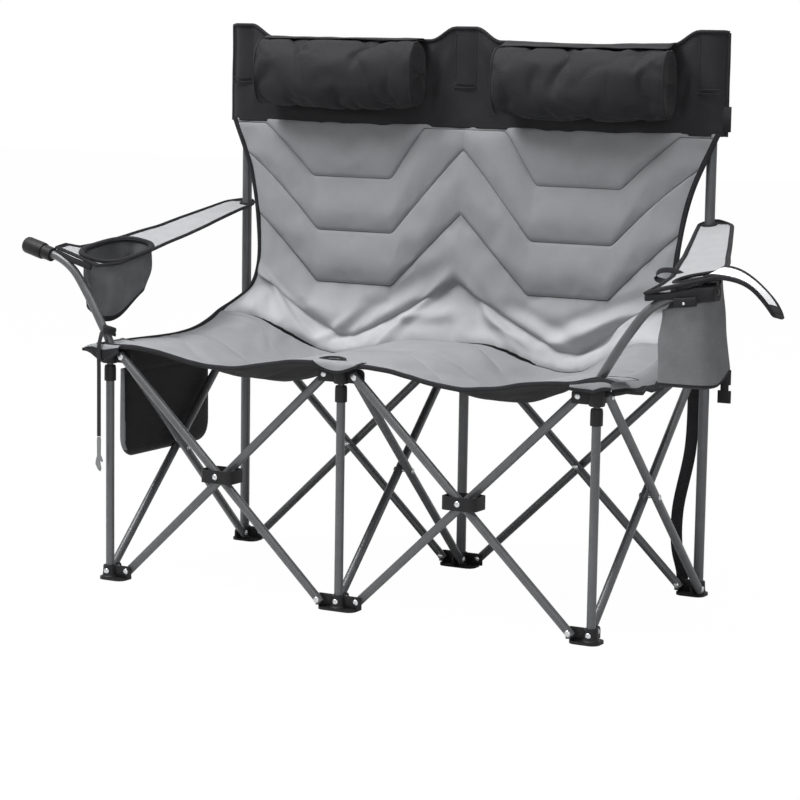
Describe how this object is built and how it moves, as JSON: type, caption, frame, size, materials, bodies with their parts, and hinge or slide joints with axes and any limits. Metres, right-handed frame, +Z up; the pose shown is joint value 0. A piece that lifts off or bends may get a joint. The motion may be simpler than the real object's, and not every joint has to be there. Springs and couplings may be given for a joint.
{
  "type": "folding camping loveseat",
  "caption": "Folding camping loveseat: quilted sling on a scissor frame of steel tubes, with head pillows and slung armrests that carry a cup pouch and a lidded cooler.",
  "frame": {"origin": "on the floor, in the middle of the whole outline between the left grip and the open lid's tip", "axes": "+Z up, the chair faces -Y, +X to the right as seen from the front"},
  "size_m": [1.5143, 0.53, 1.042],
  "materials": {
    "frame_steel": "charcoal powder coat",
    "bright_steel": "bright plated steel",
    "black_plastic": "moulded black nylon",
    "grey_cloth": "quilted grey polyester",
    "pale_cloth": "pale grey polyester with dark binding",
    "dark_cloth": "dark grey polyester",
    "black_cloth": "black polyester"
  },
  "bodies": {
    "rear_middle": {"rear_middle_foot": "black_plastic", "rear_middle_post": "frame_steel", "back_panel": "grey_cloth", "head_panel": "black_cloth", "left_pillow": "black_cloth", "right_pillow": "black_cloth"},
    "rear_left_falling": {"rear_left_brace_falling": "frame_steel"},
    "rear_left_rising": {"rear_left_brace_rising": "frame_steel"},
    "rear_left_foot": {"rear_left_foot": "black_plastic", "rear_left_post": "frame_steel"},
    "rear_middle_hub": {"rear_middle_hub": "black_plastic"},
    "rear_left_hub": {"rear_left_hub": "black_plastic"},
    "rear_right_rising": {"rear_right_brace_rising": "frame_steel"},
    "rear_right_falling": {"rear_right_brace_falling": "frame_steel"},
    "rear_right_foot": {"rear_right_foot": "black_plastic", "rear_right_post": "frame_steel", "carry_strap": "black_cloth"},
    "rear_right_hub": {"rear_right_hub": "black_plastic"},
    "middle_side_falling": {"middle_side_brace_falling": "frame_steel"},
    "middle_side_rising": {"middle_side_brace_rising": "frame_steel"},
    "front_middle_foot": {"front_middle_foot": "black_plastic", "front_middle_upright": "frame_steel", "front_middle_ferrule": "black_plastic"},
    "front_middle_hub": {"front_middle_hub": "black_plastic"},
    "left_side_falling": {"left_side_brace_falling": "frame_steel"},
    "left_side_rising": {"left_side_brace_rising": "frame_steel"},
    "front_left_foot": {"front_left_foot": "black_plastic", "front_left_upright": "frame_steel", "front_left_ferrule": "black_plastic"},
    "front_left_hub": {"front_left_hub": "black_plastic", "left_arm_tube": "frame_steel", "left_arm_grip": "black_plastic", "left_armrest": "pale_cloth", "cup_pouch": "dark_cloth", "side_pocket": "black_cloth", "lanyard": "black_cloth"},
    "right_side_falling": {"right_side_brace_falling": "frame_steel"},
    "right_side_rising": {"right_side_brace_rising": "frame_steel"},
    "front_right_foot": {"front_right_foot": "black_plastic", "front_right_upright": "frame_steel", "front_right_ferrule": "black_plastic"},
    "front_right_hub": {"front_right_hub": "black_plastic", "right_arm_tube": "frame_steel", "right_arm_grip": "black_plastic", "right_armrest": "pale_cloth", "cooler_pouch": "dark_cloth"},
    "front_left_falling": {"front_left_brace_falling": "frame_steel"},
    "front_left_rising": {"front_left_brace_rising": "frame_steel"},
    "front_left_clip": {"front_left_cross_clip": "black_plastic"},
    "front_right_rising": {"front_right_brace_rising": "frame_steel"},
    "front_right_falling": {"front_right_brace_falling": "frame_steel"},
    "front_right_clip": {"front_right_cross_clip": "black_plastic"},
    "seat_rear": {"seat_rear": "grey_cloth"},
    "seat_front": {"seat_front": "grey_cloth"},
    "cooler_lid": {"cooler_lid": "dark_cloth"},
    "bottle_opener": {"bottle_opener": "bright_steel"}
  },
  "joints": [
    {"name": "fold", "type": "hinge", "parent": "rear_middle", "child": "rear_left_falling", "pos_m": [-0.08406, 0.238, 0.017], "axis": [0, 1, 0], "range_deg": [0, 42.75], "deforming": ["seat_front", "seat_rear", "back_panel", "head_panel", "left_pillow", "right_pillow", "left_armrest", "right_armrest", "cup_pouch", "cooler_pouch", "side_pocket", "lanyard", "carry_strap"]},
    {"name": "rear_left_cross", "type": "hinge", "parent": "rear_left_falling", "child": "rear_left_rising", "pos_m": [-0.29806, 0.238, 0.2215], "axis": [0, 1, 0], "range_deg": [-86, 0]},
    {"name": "rear_left_foot_pin", "type": "hinge", "parent": "rear_left_rising", "child": "rear_left_foot", "pos_m": [-0.51206, 0.238, 0.017], "axis": [0, 1, 0], "range_deg": [0, 43.25]},
    {"name": "rear_middle_hub_pin", "type": "hinge", "parent": "rear_left_rising", "child": "rear_middle_hub", "pos_m": [-0.08406, 0.238, 0.426], "axis": [0, 1, 0], "range_deg": [0, 43.25]},
    {"name": "rear_left_hub_pin", "type": "hinge", "parent": "rear_left_falling", "child": "rear_left_hub", "pos_m": [-0.51206, 0.238, 0.426], "axis": [0, 1, 0], "range_deg": [-43.25, 0]},
    {"name": "rear_right_foot_rise", "type": "hinge", "parent": "rear_middle", "child": "rear_right_rising", "pos_m": [-0.01206, 0.238, 0.017], "axis": [0, 1, 0], "range_deg": [-43.25, 0]},
    {"name": "rear_right_cross", "type": "hinge", "parent": "rear_right_rising", "child": "rear_right_falling", "pos_m": [0.20194, 0.238, 0.2215], "axis": [0, 1, 0], "range_deg": [0, 86]},
    {"name": "rear_right_foot_pin", "type": "hinge", "parent": "rear_right_falling", "child": "rear_right_foot", "pos_m": [0.41594, 0.238, 0.017], "axis": [0, 1, 0], "range_deg": [-43.25, 0]},
    {"name": "rear_right_hub_pin", "type": "hinge", "parent": "rear_right_rising", "child": "rear_right_hub", "pos_m": [0.41594, 0.238, 0.426], "axis": [0, 1, 0], "range_deg": [0, 43.25]},
    {"name": "middle_side_rear_pin", "type": "hinge", "parent": "rear_middle", "child": "middle_side_falling", "pos_m": [-0.04806, 0.214, 0.017], "axis": [1, 0, 0], "range_deg": [-43.25, 0]},
    {"name": "middle_side_cross", "type": "hinge", "parent": "middle_side_falling", "child": "middle_side_rising", "pos_m": [-0.04806, 0, 0.2215], "axis": [1, 0, 0], "range_deg": [0, 86]},
    {"name": "front_middle_foot_pin", "type": "hinge", "parent": "middle_side_rising", "child": "front_middle_foot", "pos_m": [-0.04806, -0.214, 0.017], "axis": [1, 0, 0], "range_deg": [-43.25, 0]},
    {"name": "front_middle_hub_pin", "type": "hinge", "parent": "middle_side_falling", "child": "front_middle_hub", "pos_m": [-0.04806, -0.214, 0.426], "axis": [1, 0, 0], "range_deg": [0, 43.25]},
    {"name": "left_side_rear_pin", "type": "hinge", "parent": "rear_left_foot", "child": "left_side_falling", "pos_m": [-0.54806, 0.214, 0.017], "axis": [1, 0, 0], "range_deg": [-43.25, 0]},
    {"name": "left_side_cross", "type": "hinge", "parent": "left_side_falling", "child": "left_side_rising", "pos_m": [-0.54806, 0, 0.2215], "axis": [1, 0, 0], "range_deg": [0, 86]},
    {"name": "front_left_foot_pin", "type": "hinge", "parent": "left_side_rising", "child": "front_left_foot", "pos_m": [-0.54806, -0.214, 0.017], "axis": [1, 0, 0], "range_deg": [-43.25, 0]},
    {"name": "front_left_hub_pin", "type": "hinge", "parent": "left_side_falling", "child": "front_left_hub", "pos_m": [-0.54806, -0.214, 0.426], "axis": [1, 0, 0], "range_deg": [0, 43.25]},
    {"name": "right_side_rear_pin", "type": "hinge", "parent": "rear_right_foot", "child": "right_side_falling", "pos_m": [0.45194, 0.214, 0.017], "axis": [1, 0, 0], "range_deg": [-43.25, 0]},
    {"name": "right_side_cross", "type": "hinge", "parent": "right_side_falling", "child": "right_side_rising", "pos_m": [0.45194, 0, 0.2215], "axis": [1, 0, 0], "range_deg": [0, 86]},
    {"name": "front_right_foot_pin", "type": "hinge", "parent": "right_side_rising", "child": "front_right_foot", "pos_m": [0.45194, -0.214, 0.017], "axis": [1, 0, 0], "range_deg": [-43.25, 0]},
    {"name": "front_right_hub_pin", "type": "hinge", "parent": "right_side_falling", "child": "front_right_hub", "pos_m": [0.45194, -0.214, 0.426], "axis": [1, 0, 0], "range_deg": [0, 43.25]},
    {"name": "front_left_foot_fall", "type": "hinge", "parent": "front_middle_foot", "child": "front_left_falling", "pos_m": [-0.08406, -0.238, 0.017], "axis": [0, 1, 0], "range_deg": [0, 43.25]},
    {"name": "front_left_cross", "type": "hinge", "parent": "front_left_falling", "child": "front_left_rising", "pos_m": [-0.29806, -0.238, 0.2215], "axis": [0, 1, 0], "range_deg": [-86, 0]},
    {"name": "front_left_clip_pin", "type": "hinge", "parent": "front_left_falling", "child": "front_left_clip", "pos_m": [-0.29806, -0.238, 0.2215], "axis": [0, 1, 0], "range_deg": [-43.25, 0]},
    {"name": "front_right_foot_rise", "type": "hinge", "parent": "front_middle_foot", "child": "front_right_rising", "pos_m": [-0.01206, -0.238, 0.017], "axis": [0, 1, 0], "range_deg": [-43.25, 0]},
    {"name": "front_right_cross", "type": "hinge", "parent": "front_right_rising", "child": "front_right_falling", "pos_m": [0.20194, -0.238, 0.2215], "axis": [0, 1, 0], "range_deg": [0, 86]},
    {"name": "front_right_clip_pin", "type": "hinge", "parent": "front_right_rising", "child": "front_right_clip", "pos_m": [0.20194, -0.238, 0.2215], "axis": [0, 1, 0], "range_deg": [0, 43.25]},
    {"name": "seat_rear_fold", "type": "hinge", "parent": "rear_middle_hub", "child": "seat_rear", "pos_m": [-0.04806, 0.2, 0.443], "axis": [1, 0, 0], "range_deg": [0, 82.58]},
    {"name": "seat_front_fold", "type": "hinge", "parent": "front_middle_hub", "child": "seat_front", "pos_m": [-0.04806, -0.238, 0.443], "axis": [1, 0, 0], "range_deg": [-82.58, 0]},
    {"name": "lid_hinge", "type": "hinge", "parent": "front_right_hub", "child": "cooler_lid", "pos_m": [0.64494, -0.195, 0.64717], "axis": [0, -0.9929, -0.1188], "range_deg": [0, 185]},
    {"name": "opener_swing", "type": "hinge", "parent": "front_left_hub", "child": "bottle_opener", "pos_m": [-0.55406, -0.266, 0.275], "axis": [1, 0, 0], "range_deg": [-30, 12]}
  ],
  "couplings": [
    {"joint": "rear_left_cross", "follows": "fold", "ratio": -2},
    {"joint": "rear_left_foot_pin", "follows": "fold", "ratio": 1},
    {"joint": "rear_middle_hub_pin", "follows": "fold", "ratio": 1},
    {"joint": "rear_left_hub_pin", "follows": "fold", "ratio": -1},
    {"joint": "rear_right_foot_rise", "follows": "fold", "ratio": -1},
    {"joint": "rear_right_cross", "follows": "fold", "ratio": 2},
    {"joint": "rear_right_foot_pin", "follows": "fold", "ratio": -1},
    {"joint": "rear_right_hub_pin", "follows": "fold", "ratio": 1},
    {"joint": "middle_side_rear_pin", "follows": "fold", "ratio": -1},
    {"joint": "middle_side_cross", "follows": "fold", "ratio": 2},
    {"joint": "front_middle_foot_pin", "follows": "fold", "ratio": -1},
    {"joint": "front_middle_hub_pin", "follows": "fold", "ratio": 1},
    {"joint": "left_side_rear_pin", "follows": "fold", "ratio": -1},
    {"joint": "left_side_cross", "follows": "fold", "ratio": 2},
    {"joint": "front_left_foot_pin", "follows": "fold", "ratio": -1},
    {"joint": "front_left_hub_pin", "follows": "fold", "ratio": 1},
    {"joint": "right_side_rear_pin", "follows": "fold", "ratio": -1},
    {"joint": "right_side_cross", "follows": "fold", "ratio": 2},
    {"joint": "front_right_foot_pin", "follows": "fold", "ratio": -1},
    {"joint": "front_right_hub_pin", "follows": "fold", "ratio": 1},
    {"joint": "front_left_foot_fall", "follows": "fold", "ratio": 1},
    {"joint": "front_left_cross", "follows": "fold", "ratio": -2},
    {"joint": "front_left_clip_pin", "follows": "fold", "ratio": -1},
    {"joint": "front_right_foot_rise", "follows": "fold", "ratio": -1},
    {"joint": "front_right_cross", "follows": "fold", "ratio": 2},
    {"joint": "front_right_clip_pin", "follows": "fold", "ratio": 1},
    {"joint": "seat_rear_fold", "follows": "fold", "ratio": 1.92},
    {"joint": "seat_front_fold", "follows": "fold", "ratio": -1.92}
  ]
}
